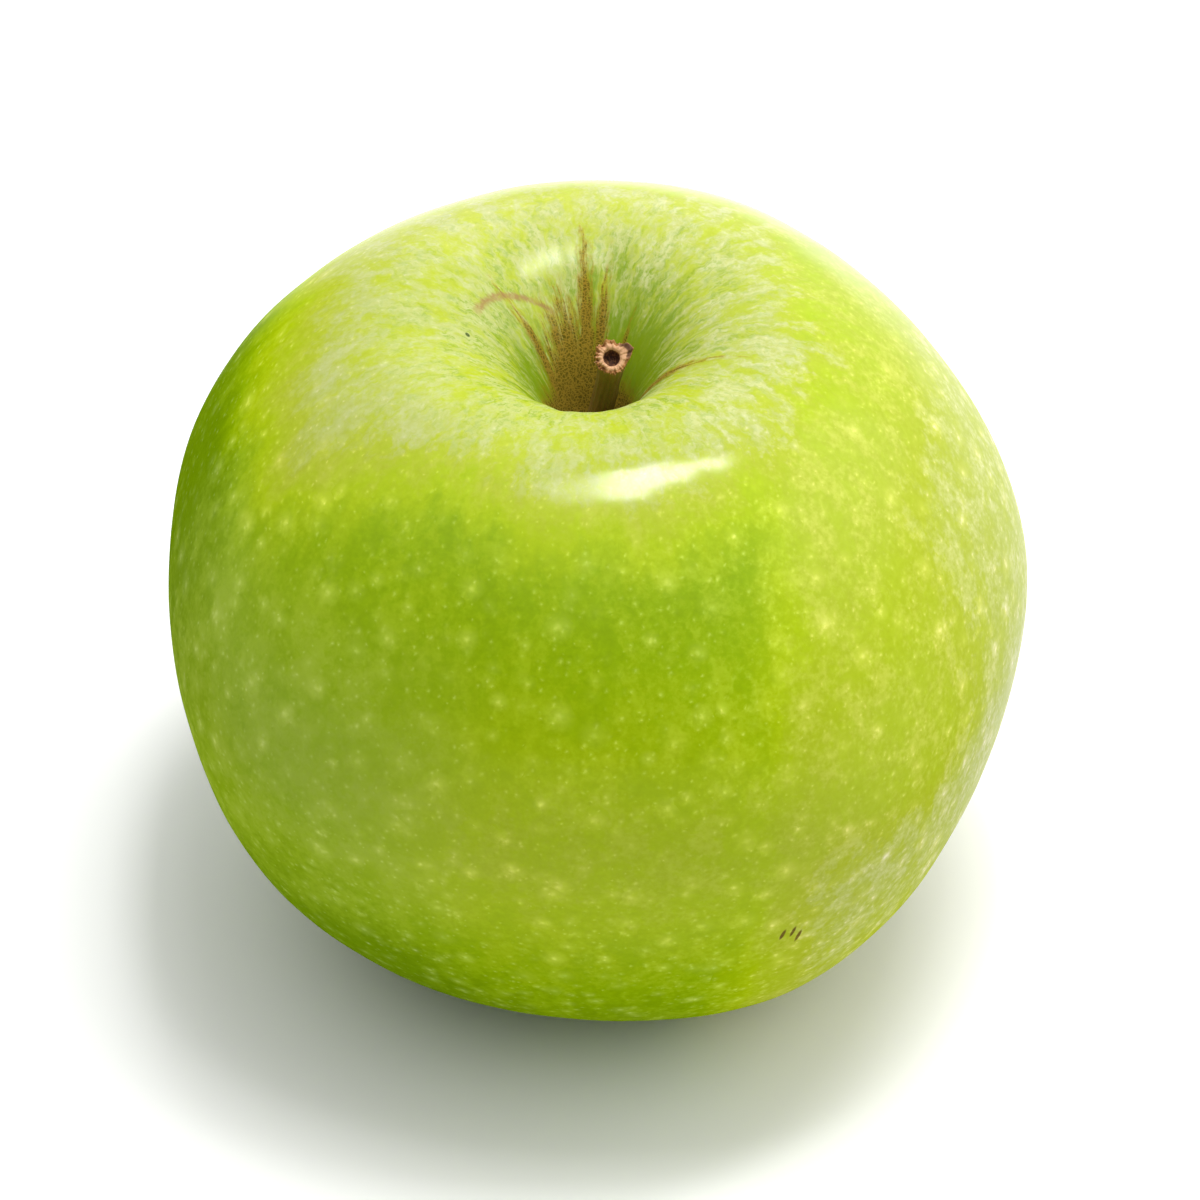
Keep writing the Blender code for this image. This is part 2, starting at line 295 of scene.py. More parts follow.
def tint(tree, amount, under, over, mode="MIX"):
    """The colour over laid on the colour under by this amount."""
    node = add(tree, "Mix", data_type="RGBA", blend_type=mode)
    for number, source in ((0, amount), (6, under), (7, over)):
        feed(tree, node.inputs[number], source)
    return node.outputs[2]


def chance(tree, place, scale, detail=3.0, roughness=0.5):
    """A cloudy chance value from 0 to 1, mostly near 0.5."""
    return add(tree, "TexNoise", place, None, scale, detail, roughness).outputs["Fac"]


def group(name, inputs, outputs):
    """A new node group, with what it is given and what it makes, both by name."""
    tree = bpy.data.node_groups.new(name, "ShaderNodeTree")
    for way, sockets in (("INPUT", inputs), ("OUTPUT", outputs)):
        for label, kind in sockets:
            tree.interface.new_socket(label, in_out=way, socket_type="NodeSocket" + kind)
    return tree, tree.nodes.new("NodeGroupInput").outputs, tree.nodes.new("NodeGroupOutput").inputs


def use(tree, node_group, *sources):
    """This node group's outputs, placed in a material with these inputs."""
    return add(tree, "Group", *sources, node_tree=node_group).outputs


def growth_streaks():
    """Fine streaks that run the way the plant grew: Count of them round it, each Stretch times as short."""
    tree, given, made = group(
        "growth_streaks",
        (("Growth", "Vector"), ("Count", "Float"), ("Stretch", "Float"), ("Shift", "Float")),
        (("Streak", "Float"),),
    )
    parts = add(tree, "SeparateXYZ", given["Growth"]).outputs
    count = maths(tree, "DIVIDE", given["Count"], math.tau)
    along = plus(tree, times(tree, parts[2], given["Stretch"]), given["Shift"])
    right, back = times(tree, parts[0], count), times(tree, parts[1], count)
    spot = add(tree, "CombineXYZ", right, back, along).outputs[0]
    tree.links.new(chance(tree, spot, 1.0, 3.0, 0.62), made["Streak"])
    return tree


def pores():
    """Round pores in the skin: each a small bright core in a wide soft halo. Spacing is in millimetres."""
    tree, given, made = group(
        "pores",
        (
            ("Place", "Vector"),
            ("Facing", "Vector"),
            ("Spacing", "Float"),
            ("Core", "Float"),
            ("Halo", "Float"),
        ),
        (("Core", "Float"), ("Halo", "Float"), ("Chance", "Float")),
    )
    cells = add(tree, "TexVoronoi", voronoi_dimensions="3D", feature="F1")
    tree.links.new(given["Place"], cells.inputs["Vector"])
    tree.links.new(maths(tree, "DIVIDE", 1.0, given["Spacing"]), cells.inputs["Scale"])
    away = vectors(tree, "SUBTRACT", cells.outputs["Position"], given["Place"])
    deep = vectors(tree, "DOT_PRODUCT", away, given["Facing"])
    down = add(tree, "VectorMath", given["Facing"], operation="SCALE")
    tree.links.new(deep, down.inputs["Scale"])
    beside = vectors(tree, "LENGTH", vectors(tree, "SUBTRACT", away, down.outputs[0]))
    luck = add(tree, "SeparateXYZ", cells.outputs["Color"]).outputs
    size = plus(tree, times(tree, luck[0], 0.9), 0.55)
    reach = maths(tree, "DIVIDE", maths(tree, "ABSOLUTE", deep), given["Spacing"])
    whole = ease(tree, reach, 0.24, 0.34, 1.0, 0.0)
    for name in ("Core", "Halo"):
        share = maths(tree, "DIVIDE", beside, times(tree, given[name], size))
        mask = ease(tree, share, 0.0, 1.0, 1.0, 0.0)
        tree.links.new(times(tree, mask, whole), made[name])
    tree.links.new(luck[1], made["Chance"])
    return tree


def cork():
    """Russet: fine brown cork in a net of short hairs, finer where Grain is larger."""
    tree, given, made = group(
        "cork",
        (("Place", "Vector"), ("Grain", "Float")),
        (("Net", "Float"), ("Height", "Float")),
    )
    warp = add(tree, "TexNoise", given["Place"], None, 0.8, 3.0)
    stirred = vectors(tree, "ADD", given["Place"], warp.outputs["Color"])
    cells = add(tree, "TexVoronoi", feature="DISTANCE_TO_EDGE")
    tree.links.new(stirred, cells.inputs["Vector"])
    tree.links.new(given["Grain"], cells.inputs["Scale"])
    net = ease(tree, cells.outputs["Distance"], 0.0, 0.22, 1.0, 0.0)
    grit = add(tree, "TexNoise", given["Place"], None, 6.0, 4.0, 0.7)
    mixed = times(tree, plus(tree, net, grit.outputs["Fac"]), 0.62)
    tree.links.new(mixed, made["Net"])
    tree.links.new(plus(tree, mixed, grit.outputs["Fac"]), made["Height"])
    return tree


STREAKS, PORES, CORK = growth_streaks(), pores(), cork()

SHADE_GREEN = (0.145, 0.250, 0.001, 1.0)
LEAF_GREEN = (0.245, 0.375, 0.001, 1.0)
YELLOW_GREEN = (0.350, 0.470, 0.003, 1.0)
RIPE_YELLOW = (0.375, 0.440, 0.026, 1.0)
PALE_YELLOW = (0.410, 0.450, 0.140, 1.0)
STREAK_GREEN = (0.195, 0.300, 0.003, 1.0)
CAVITY_GREEN = (0.175, 0.275, 0.003, 1.0)
REFLECTED_GREY_HAZE = (0.320, 0.430, 0.050, 1.0)
RUSSET_DARK = (0.105, 0.072, 0.008, 1.0)
RUSSET_BROWN = (0.290, 0.180, 0.022, 1.0)
RUSSET_ORANGE = (0.360, 0.200, 0.015, 1.0)
RUB_TAN = (0.310, 0.195, 0.058, 1.0)
SKIN_ROUGHNESS = 0.42
WAX_ROUGHNESS = 0.15
WAX_IOR = 1.33

# Each spoke of russet that climbs out of the throat: its azimuth, how far up it ends, and half its width.
RUSSET_SPOKES = (
    (-162.0, 0.58, 80.0),
    (-179.0, 0.82, 15.0),
    (169.0, 0.68, 16.0),
    (-152.0, 0.62, 14.0),
    (-131.0, 0.70, 11.0),
    (146.0, 0.54, 8.0),
    (73.0, 0.76, 11.0),
)
# Small marks of the orchard: azimuth, station, half width in degrees, half height in stations, colour.
BLEMISHES = (
    (-92.0, 0.74, 1.4, 0.012, (0.040, 0.075, 0.010, 1.0)),
    (24.3, 2.266, 0.34, 0.018, (0.120, 0.070, 0.012, 1.0)),
    (25.7, 2.264, 0.30, 0.018, (0.110, 0.064, 0.012, 1.0)),
    (26.6, 2.284, 0.34, 0.020, (0.130, 0.078, 0.014, 1.0)),
)
MARK_LEAN = 0.30  # how far a mark's upper end leans to the right
PALER_SHARE, PALER_LIFT = (1.30, 1.20, 1.80), (0.040, 0.040, 0.028)
# The healed rub in the cavity: its azimuth and station, how it climbs, and half its length in degrees.
RUB_MARK = (-133.0, 0.69, 0.22, 21.0)


def blank_material(name):
    """A new material, with its node tree and its shader."""
    finish = bpy.data.materials.new(name)
    finish.use_nodes = True
    return finish, finish.node_tree, finish.node_tree.nodes["Principled BSDF"]


def raise_surface(tree, shader, height, strength, distance):
    """Fine relief from a height, where 1 stands this many millimetres proud."""
    bump = add(tree, "Bump")
    bump.inputs["Strength"].default_value = strength
    bump.inputs["Distance"].default_value = distance * MM
    tree.links.new(height, bump.inputs["Height"])
    tree.links.new(bump.outputs[0], shader.inputs["Normal"])


def in_millimetres(tree):
    """The place of the surface in the piece's own frame, in millimetres."""
    enlarged = add(tree, "VectorMath", add(tree, "TexCoord").outputs["Object"], operation="SCALE")
    enlarged.inputs["Scale"].default_value = 1 / MM
    return enlarged.outputs[0]


def growth_here(tree):
    return add(tree, "Attribute", attribute_name="growth").outputs["Vector"]


def facing_azimuth(tree, grew, azimuth):
    """The cosine of the angle round the core between the surface and this azimuth."""
    turn = math.radians(azimuth)
    return vectors(tree, "DOT_PRODUCT", grew, (math.sin(turn), -math.cos(turn), 0.0))


def skin_patterns(tree):
    """What the skin's colours and finish follow: where a spot grew, and the chance patterns over it."""
    grew = growth_here(tree)
    right, _, along = add(tree, "SeparateXYZ", grew).outputs
    place = in_millimetres(tree)
    drift = add(tree, "TexNoise", place, None, 0.9, 2.0).outputs["Color"]
    drifted = vectors(tree, "MULTIPLY_ADD", drift, (0.10, 0.10, 0.10), grew)
    dashes = use(tree, STREAKS, drifted, 96.0, 9.0, 2.0)["Streak"]
    blotch = chance(tree, place, 0.30, 4.0, 0.55)
    grain = chance(tree, place, 1.5, 3.0, 0.6)
    straight_hair = use(tree, STREAKS, grew, 290.0, 13.0, 0.0)["Streak"]
    return SimpleNamespace(
        grew=grew,
        right=right,
        along=along,
        place=place,
        facing=add(tree, "NewGeometry").outputs["Normal"],
        straight_hair=straight_hair,
        hair=use(tree, STREAKS, drifted, 290.0, 13.0, 0.0)["Streak"],
        fine=use(tree, STREAKS, drifted, 140.0, 9.0, 4.0)["Streak"],
        broad=use(tree, STREAKS, grew, 36.0, 2.2, 7.0)["Streak"],
        cloud=chance(tree, place, 0.05, 2.0),
        blotch=blotch,
        mottle=blend(tree, dashes, 0.6, times(tree, blotch, 0.4)),
        grain=grain,
        ragged=blend(tree, straight_hair, 1.0, blend(tree, grain, 0.35, -0.675)),
    )


def ripeness_and_painted_light(tree, skin):
    """How ripe the skin is, from shaded green at 0 to pale yellow at 1, with painted light at the right and
    painted shade at the left.
    """
    along, right = skin.along, skin.right
    wander = blend(tree, skin.cloud, 0.36, blend(tree, skin.broad, 0.36, -0.36))
    level = maths(tree, "SUBTRACT", along, wander)
    upper_left = ease(tree, facing_azimuth(tree, skin.grew, -95.0), 0.4, 0.95, 0.0, 0.16)
    crown = ease(tree, maths(tree, "SUBTRACT", level, upper_left), 1.0, 1.44, 0.66, 0.0)

    # The paler cheek at the right, the waist, and painted light at the far right and low right.
    upper = times(tree, skin.broad, 0.16)
    slant = blend(tree, maths(tree, "MINIMUM", along, 1.9), 0.45, upper)
    cheek = ease(tree, plus(tree, right, slant), 1.12, 1.40, 0.0, 0.42)
    waist = maths(tree, "SUBTRACT", 1.0, maths(tree, "ABSOLUTE", maths(tree, "SUBTRACT", along, 2.0)))
    lower = times(tree, ease(tree, waist, 0.45, 1.0, 0.0, 0.32), ease(tree, right, -0.80, -0.20))
    ripe = maths(tree, "MAXIMUM", crown, maths(tree, "MAXIMUM", cheek, lower))
    # Painted reflection: the far right is paled as if it reflected the bright room at its edge.
    far_right_reflection = times(tree, ease(tree, right, 0.75, 1.0, 0.0, 0.20), ease(tree, along, 1.30, 1.60))
    ripe = plus(tree, ripe, far_right_reflection)
    # Painted light: the low right is paled as if lit by light bounced up from the floor.
    low_right_bounce = times(tree, ease(tree, right, 0.30, 0.60, 0.0, 0.22), ease(tree, along, 1.90, 2.20))
    ripe = plus(tree, ripe, low_right_bounce)

    # Painted shade: the left side and the low left are darkened towards shaded green; the underside is
    # darker too.
    left_side_shade = ease(tree, facing_azimuth(tree, skin.grew, -100.0), 0.70, 1.0, 0.0, 0.26)
    left_side_shade = times(tree, left_side_shade, ease(tree, along, 1.40, 1.65))
    low_left_shade = times(tree, ease(tree, right, -0.15, -0.60, 0.0, 0.20), ease(tree, along, 2.10, 2.45))
    under = ease(tree, along, 2.20, 2.60, 0.0, 0.10)
    ripe = maths(tree, "SUBTRACT", ripe, plus(tree, under, plus(tree, left_side_shade, low_left_shade)))
    patch_share = ease(tree, along, 1.35, 1.10, 0.12, 0.32)
    patchy = times(tree, ease(tree, skin.mottle, 0.36, 0.64, -0.5, 0.5), patch_share)
    return plus(tree, ripe, plus(tree, patchy, 0.25))


def ground_with_painted_light(tree, skin):
    """The skin's colour by how ripe it is, with the painted light and shade laid into that."""
    ground = add(tree, "ValToRGB", ripeness_and_painted_light(tree, skin))
    stops = ground.color_ramp.elements
    stops[0].position, stops[0].color = 0.0, SHADE_GREEN
    stops[1].position, stops[1].color = 1.0, PALE_YELLOW
    for position, stop_colour in ((0.25, LEAF_GREEN), (0.50, YELLOW_GREEN), (0.76, RIPE_YELLOW)):
        stops.new(position).color = stop_colour
    return ground.outputs["Color"]


def paler(tree, colour):
    """The same skin made lighter and less yellow: as with air under it in a pore or a fleck, and as a
    painted reflection on the back of the crown.
    """
    return vectors(tree, "MULTIPLY_ADD", colour, PALER_SHARE, PALER_LIFT)


def flecks_and_painted_reflections(tree, skin, colour):
    """A painted reflection that pales the back of the crown, pale flecks, and a painted reflection of grey
    haze on the left cheek.
    """
    along, grain = skin.along, skin.grain
    # Painted reflection: the back of the crown is made paler and bluer, as if it reflected the bright back
    # of the room.
    back_reflection = times(tree, ease(tree, along, 0.70, 1.10), ease(tree, along, 1.75, 1.35))
    behind = ease(tree, facing_azimuth(tree, skin.grew, -170.0), 0.40, 0.95, 0.0, 0.38)
    colour = tint(tree, times(tree, back_reflection, behind), colour, paler(tree, colour))

    # Flecks, and a fine unevenness that leaves the grain bluer.
    speckled = blend(tree, grain, 0.35, times(tree, skin.mottle, 0.85))
    fleck = times(tree, ease(tree, speckled, 0.56, 0.74), ease(tree, skin.right, -0.2, 0.9, 0.12, 0.50))
    colour = tint(tree, fleck, colour, paler(tree, colour))
    shimmer = blend(tree, grain, 0.30, 0.85)
    lit = add(tree, "CombineXYZ", shimmer, shimmer, blend(tree, grain, 1.2, 0.40)).outputs[0]
    colour = tint(tree, 1.0, colour, lit, "MULTIPLY")

    # Painted reflection: a grey haze on the lower left cheek, as if it reflected a grey surface.
    left_cheek = ease(tree, facing_azimuth(tree, skin.grew, -50.0), 0.78, 0.97)
    haze_height = times(tree, ease(tree, along, 1.45, 1.75), ease(tree, along, 2.5, 2.0))
    haze_reflection = times(tree, left_cheek, haze_height)
    haze_reflection = times(tree, haze_reflection, ease(tree, skin.mottle, 0.35, 0.65, 0.15, 0.60))
    return tint(tree, haze_reflection, colour, REFLECTED_GREY_HAZE)


def streaked(tree, skin, colour):
    """Green streaks, closest and darkest where the skin dives into the cavity."""
    along, grain = skin.along, skin.grain
    streak = blend(tree, skin.hair, 0.5, times(tree, skin.fine, 0.5))
    streak = blend(tree, grain, 0.35, times(tree, streak, 0.65))
    streak = times(tree, ease(tree, streak, 0.45, 0.60), ease(tree, skin.blotch, 0.40, 0.58, 0.20, 1.0))
    at_stalk = ease(tree, along, 1.45, 0.60, 0.0, 0.85)
    at_flower = ease(tree, along, 2.90, 3.50, 0.0, 0.70)
    streak = times(tree, streak, plus(tree, at_stalk, at_flower))
    colour = tint(tree, streak, colour, STREAK_GREEN)
    back_right = ease(tree, facing_azimuth(tree, skin.grew, 140.0), 0.45, 0.98, 0.0, 0.18)
    ragged_green = blend(tree, skin.broad, 0.8, blend(tree, skin.fine, 0.7, -0.75))
    dive = maths(tree, "SUBTRACT", maths(tree, "SUBTRACT", along, ragged_green), back_right)
    return tint(tree, ease(tree, dive, 0.66, 0.26, 0.0, 0.92), colour, CAVITY_GREEN)


def pored(tree, skin, colour):
    """Pores: large and spaced out on the cheek, small and close towards the base."""
    along = skin.along
    on_cheek = ease(tree, along, 1.12, 1.45)
    stirred = blend(tree, skin.grain, 0.5, -0.25)
    nudge = add(tree, "CombineXYZ", stirred, stirred, stirred).outputs[0]
    near = vectors(tree, "ADD", skin.place, nudge)
    near_base = times(tree, ease(tree, along, 1.6, 2.5, 0.30, 0.85), on_cheek)
    everywhere = ease(tree, along, 0.9, 1.4, 0.25, 0.65)
    for spacing, core, halo, strength in (
        (3.4, 0.36, 1.30, on_cheek),
        (2.1, 0.28, 0.90, near_base),
        (1.1, 0.16, 0.34, everywhere),
    ):
        pore = use(tree, PORES, near, skin.facing, spacing, core, halo)
        dimness = ease(tree, pore["Chance"], 0.0, 1.0, 0.35, 1.0)
        for mask, share in (("Halo", 0.85), ("Core", 0.80)):
            shown = times(tree, times(tree, pore[mask], dimness), share)
            colour = tint(tree, times(tree, shown, strength), colour, paler(tree, colour))
    return colour


def russet_cover(tree, skin):
    """Where cork covers the skin: round the flower's cup, in a ring round the throat, and in spokes."""
    cup_cork = ease(tree, blend(tree, skin.ragged, 0.30, skin.along), 3.66, 3.98, 0.0, 0.7)
    cover = ease(tree, blend(tree, skin.ragged, 0.22, skin.along), 0.22, 0.34, 1.0, 0.0)
    for azimuth, reach, width in RUSSET_SPOKES:
        apart = maths(tree, "ARCCOSINE", facing_azimuth(tree, skin.grew, azimuth))
        spread = maths(tree, "DIVIDE", apart, math.radians(width))
        climbed = maths(tree, "DIVIDE", skin.along, reach)
        edge = blend(tree, skin.ragged, 0.9, plus(tree, spread, climbed))
        cover = maths(tree, "MAXIMUM", cover, ease(tree, edge, 0.82, 1.22, 1.0, 0.0))
    return maths(tree, "MAXIMUM", cover, cup_cork)


def russeted(tree, skin, colour, corked, net):
    """Brown cork in fine threads, more orange where it thins out at its edge."""
    threads = blend(tree, skin.straight_hair, 0.7, times(tree, net["Net"], 0.6))
    brown = tint(tree, ease(tree, threads, 0.45, 0.80), RUSSET_DARK, RUSSET_BROWN)
    brown = tint(tree, ease(tree, corked, 0.30, 0.95, 0.85, 0.0), brown, RUSSET_ORANGE)
    return tint(tree, times(tree, corked, 0.93), colour, brown)


def healed_rub(tree, skin):
    """A thin curved mark across the back left wall of the cavity, where a leaf once rubbed the skin."""
    azimuth, station, slope, half = RUB_MARK
    aside = facing_azimuth(tree, skin.grew, azimuth + 90)
    line = blend(tree, aside, slope, station)
    bowed = blend(tree, times(tree, aside, aside), -0.30, line)
    off = maths(tree, "ABSOLUTE", maths(tree, "SUBTRACT", skin.along, bowed))
    thick = ease(tree, blend(tree, skin.ragged, 0.045, off), 0.006, 0.028, 1.0, 0.0)
    end, full = math.cos(math.radians(half + 5)), math.cos(math.radians(half))
    span = ease(tree, facing_azimuth(tree, skin.grew, azimuth), end, full)
    return times(tree, times(tree, thick, span), ease(tree, skin.grain, 0.35, 0.60, 0.45, 0.95))


def mark_at(tree, skin, azimuth, station, half_width, half_height):
    """An oval mark at this azimuth and station, half_width degrees and half_height stations in size."""
    below = maths(tree, "SUBTRACT", skin.along, station)
    aside = blend(tree, below, MARK_LEAN, facing_azimuth(tree, skin.grew, azimuth + 90))
    wide = maths(tree, "DIVIDE", aside, math.radians(half_width))
    far = add(tree, "CombineXYZ", wide, maths(tree, "DIVIDE", below, half_height)).outputs[0]
    this_side = ease(tree, facing_azimuth(tree, skin.grew, azimuth), 0.0, 0.5)
    shown = times(tree, ease(tree, vectors(tree, "LENGTH", far), 0.6, 1.1, 1.0, 0.0), this_side)
    return times(tree, shown, ease(tree, skin.grain, 0.3, 0.5, 0.7, 0.95))


def wax_cover(tree, skin, corked):
    """How much of the natural wax is left. It is rubbed thin on the lower body, and cork holds none."""
    edge_on = add(tree, "LayerWeight").outputs["Facing"]
    rubbed = ease(tree, facing_azimuth(tree, skin.grew, 150.0), -0.3, 0.5, 0.0, 0.95)
    wax = ease(tree, edge_on, 0.25, 0.62, 1.0, rubbed)
    wax = times(tree, wax, ease(tree, skin.along, 1.30, 1.70, 1.0, 0.38))
    return times(tree, wax, maths(tree, "SUBTRACT", 1.0, corked))


def apple_skin():
    finish, tree, shader = blank_material("apple_skin")
    skin = skin_patterns(tree)
    net = use(tree, CORK, skin.place, 3.4)
    corked = russet_cover(tree, skin)

    colour = ground_with_painted_light(tree, skin)
    colour = flecks_and_painted_reflections(tree, skin, colour)
    colour = streaked(tree, skin, colour)
    colour = pored(tree, skin, colour)
    colour = russeted(tree, skin, colour, corked, net)
    colour = tint(tree, healed_rub(tree, skin), colour, RUB_TAN)
    for *place_and_size, stain in BLEMISHES:
        colour = tint(tree, mark_at(tree, skin, *place_and_size), colour, stain)
    tree.links.new(colour, shader.inputs["Base Color"])

    dull = blend(tree, skin.mottle, 0.10, SKIN_ROUGHNESS - 0.05)
    tree.links.new(blend(tree, corked, 0.4, dull), shader.inputs["Roughness"])
    shader.inputs["Subsurface Weight"].default_value = 0.12
    shader.inputs["Subsurface Radius"].default_value = (0.9, 1.0, 0.35)
    shader.inputs["Subsurface Scale"].default_value = 0.0015
    shader.inputs["Specular IOR Level"].default_value = 0.0
    tree.links.new(wax_cover(tree, skin, corked), shader.inputs["Coat Weight"])
    shader.inputs["Coat IOR"].default_value = WAX_IOR
    wax_roughness = ease(tree, skin.along, 1.0, 0.8, WAX_ROUGHNESS, 0.25)
    tree.links.new(wax_roughness, shader.inputs["Coat Roughness"])

    cork_height = times(tree, net["Height"], times(tree, corked, 4.0))
    height = plus(tree, blend(tree, skin.fine, 0.5, skin.grain), cork_height)
    raise_surface(tree, shader, height, 0.35, 0.04)
    return finish


fruit.data.materials.append(apple_skin())
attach(fruit, "root")
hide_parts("fruit")

# ---------------------------------------------------------------------------------------------------
# The stalk. A short woody stem that swells a little where it left the spur. It was torn off, so its end
# is a ragged ring of pale wood round a dark pith, with a lip of bark and loose fibres left on its rim.

STALK_RISE, STALK_REACH = 13.4, np.array((1.8, -3.3))
STALK_BEND, STALK_END_STRAIGHT = (1.2, 0.3, 6.0), 5.0  # how it leaves the cavity, and its straight end
STALK_END_RADIUS, STALK_END_TILT = 1.40, 38.0
STALK_SLIMMING = 0.12  # the hollow of its flutes
STALK_SIDES, BEND_STEPS = 120, 90
# Rings across the torn end: radius, how proud each stands, and how far along it grew.
TORN_RINGS = (
    (1.44, 0.02, 1.02),
    (1.38, 0.14, 1.04),
    (1.28, 0.08, 1.07),
    (1.20, 0.12, 1.10),
    (1.08, 0.24, 1.13),
    (0.90, 0.22, 1.16),
    (0.76, 0.04, 1.20),
    (0.70, -0.20, 1.32),
    (0.62, -0.60, 1.40),
    (0.30, -0.85, 1.50),
)
# A lip of bark left standing at the right of the end: its middle and width in degrees, and its size.
LIP_TURN, LIP_WIDTH, LIP_REACH, LIP_RISE = 28.0, 26.0, 0.62, 0.30
FIBRES = 34


def core_at(height):
    """Where the core's line passes at this height of the fruit's outline."""
    return np.array([lean_at(height), 0.0, height - FOOT_FLAT]) - core_place


def across(along):
    """Two unit directions square to this one: the first to the right, the second to the back."""
    along = along / np.linalg.norm(along)
    side = np.array([1.0, 0, 0]) - along[0] * along
    side /= np.linalg.norm(side)
    return side, np.cross(along, side)


def ring(centre, radius, side, back, turn):
    """Points round a centre, with one radius or one for each point."""
    radius = np.ones_like(turn) * radius
    return centre + radius[:, None] * (np.cos(turn)[:, None] * side + np.sin(turn)[:, None] * back)


def grown_ring(turn, mark):
    """The growth of a ring's points: which way each faces, and how far along it grew."""
    return np.stack([np.cos(turn), np.sin(turn), 0 * turn + mark], -1)


def tube(path, radii, marks, sides=10):
    """A round tube along a path, with a radius and a growth mark at each point of it."""
    turn = np.arange(sides) * math.tau / sides
    rows, grew = [], []
    for i, (spot, radius, mark) in enumerate(zip(path, radii, marks)):
        side, back = across(path[min(i + 1, len(path) - 1)] - path[max(i - 1, 0)])
        rows.append(ring(spot, radius, side, back, turn))
        grew.append(grown_ring(turn, mark))
    return np.array(rows)[::-1], np.array(grew)[::-1]


def chance_round(turn, count, seed):
    """A chance value for each point round a ring, about this many bumps round it."""
    k = count / math.tau
    return np.array([noise.noise((k * math.sin(t), k * math.cos(t), seed)) for t in turn])


stalk_mouth = core_at(HEIGHT - CAVITY_DEPTH)
stalk_tip = stalk_mouth + np.array([*STALK_REACH, STALK_RISE])
end_tilt = math.radians(STALK_END_TILT)
end_facing = np.array([0.0, -math.sin(end_tilt), math.cos(end_tilt)])


def stalk_body():
    """The stalk from its cut end down to its root: fluted, knotty, and ragged round the end."""
    before_tip = stalk_tip - STALK_END_STRAIGHT * end_facing
    bend = arc(stalk_mouth, stalk_mouth + STALK_BEND, before_tip, stalk_tip, BEND_STEPS)
    root = [stalk_mouth + (0, 0, -3.8 + 0.4 * i) for i in range(9)]
    centres = np.array(root + list(bend) + [stalk_tip])
    turn = np.arange(STALK_SIDES) * math.tau / STALK_SIDES
    rows, grew = [], []
    slim_radius = STALK_RADIUS - STALK_SLIMMING
    last = len(centres) - 1
    for i, centre in enumerate(centres):
        share = i / last
        side, back = across(end_facing if i == last else centres[i + 1] - centres[max(i - 1, 0)])
        swell = (STALK_END_RADIUS - slim_radius) * eased((share - 0.66) / 0.34)
        flutes = 0.05 * np.sin(5 * turn + 2.0 * share) + 0.035 * np.sin(13 * turn - 5 * share)
        knots = 0.08 * chance_round(turn, 12, 9 * share)
        rows.append(ring(centre, slim_radius + swell + flutes + knots, side, back, turn))
        grew.append(grown_ring(turn, share))
    side, back = across(end_facing)
    ragged, frayed = chance_round(turn, 11, 4.4), chance_round(turn, 40, 1.4)
    crown = bump_at(np.degrees(turn), 110.0, 40.0)
    lip = bump_at((np.degrees(turn) - LIP_TURN + 180) % 360, 180, LIP_WIDTH)
    for radius, proud, mark in TORN_RINGS:
        outer = eased((radius - 1.0) / 0.4)
        loose = 1 + (0.10 + 0.08 * outer) * ragged + (0.05 + 0.07 * outer) * frayed + 0.16 * outer * crown
        reach = radius * loose + LIP_REACH * lip * outer
        high = proud + outer * (0.30 * ragged + 0.30 * frayed + LIP_RISE * lip) + 0.10 * frayed
        rows.append(ring(stalk_tip, reach, side, back, turn) + high[:, None] * end_facing)
        grew.append(grown_ring(turn, mark))
    return np.array(rows)[::-1], np.array(grew)[::-1]


def torn_fibres():
    """Loose fibres round the torn end: some stand up from the wood and some hang with the bark."""
    side, back = across(end_facing)
    luck = np.random.default_rng(21)
    for _ in range(FIBRES):
        turn = luck.uniform(0, math.tau)
        out = math.cos(turn) * side + math.sin(turn) * back
        sway = luck.uniform(-0.25, 0.25) * np.cross(end_facing, out)
        rise = luck.choice((1.0, -1.0)) * luck.uniform(0.15, 0.50)
        start = stalk_tip + luck.uniform(1.20, 1.40) * out - 0.05 * end_facing
        reach = luck.uniform(0.10, 0.32)
        path = [start + t * (reach * out + sway) + rise * t**1.5 * end_facing for t in np.linspace(0, 1, 6)]
        yield tube(path, luck.uniform(0.05, 0.10) * np.array((1, 0.9, 0.8, 0.6, 0.4, 0.15)), [1.04] * 6)


stalk = grown_piece("apple_stalk", stalk_body(), *torn_fibres())

BARK_OLIVE = (0.150, 0.125, 0.018, 1.0)
BARK_BROWN = (0.210, 0.110, 0.030, 1.0)
TORN_ORANGE = (0.360, 0.150, 0.030, 1.0)
TORN_WOOD = (0.620, 0.350, 0.185, 1.0)
PITH_AND_SHADOW_DARK = (0.060, 0.018, 0.006, 1.0)
PITH_BROWN = (0.260, 0.110, 0.035, 1.0)


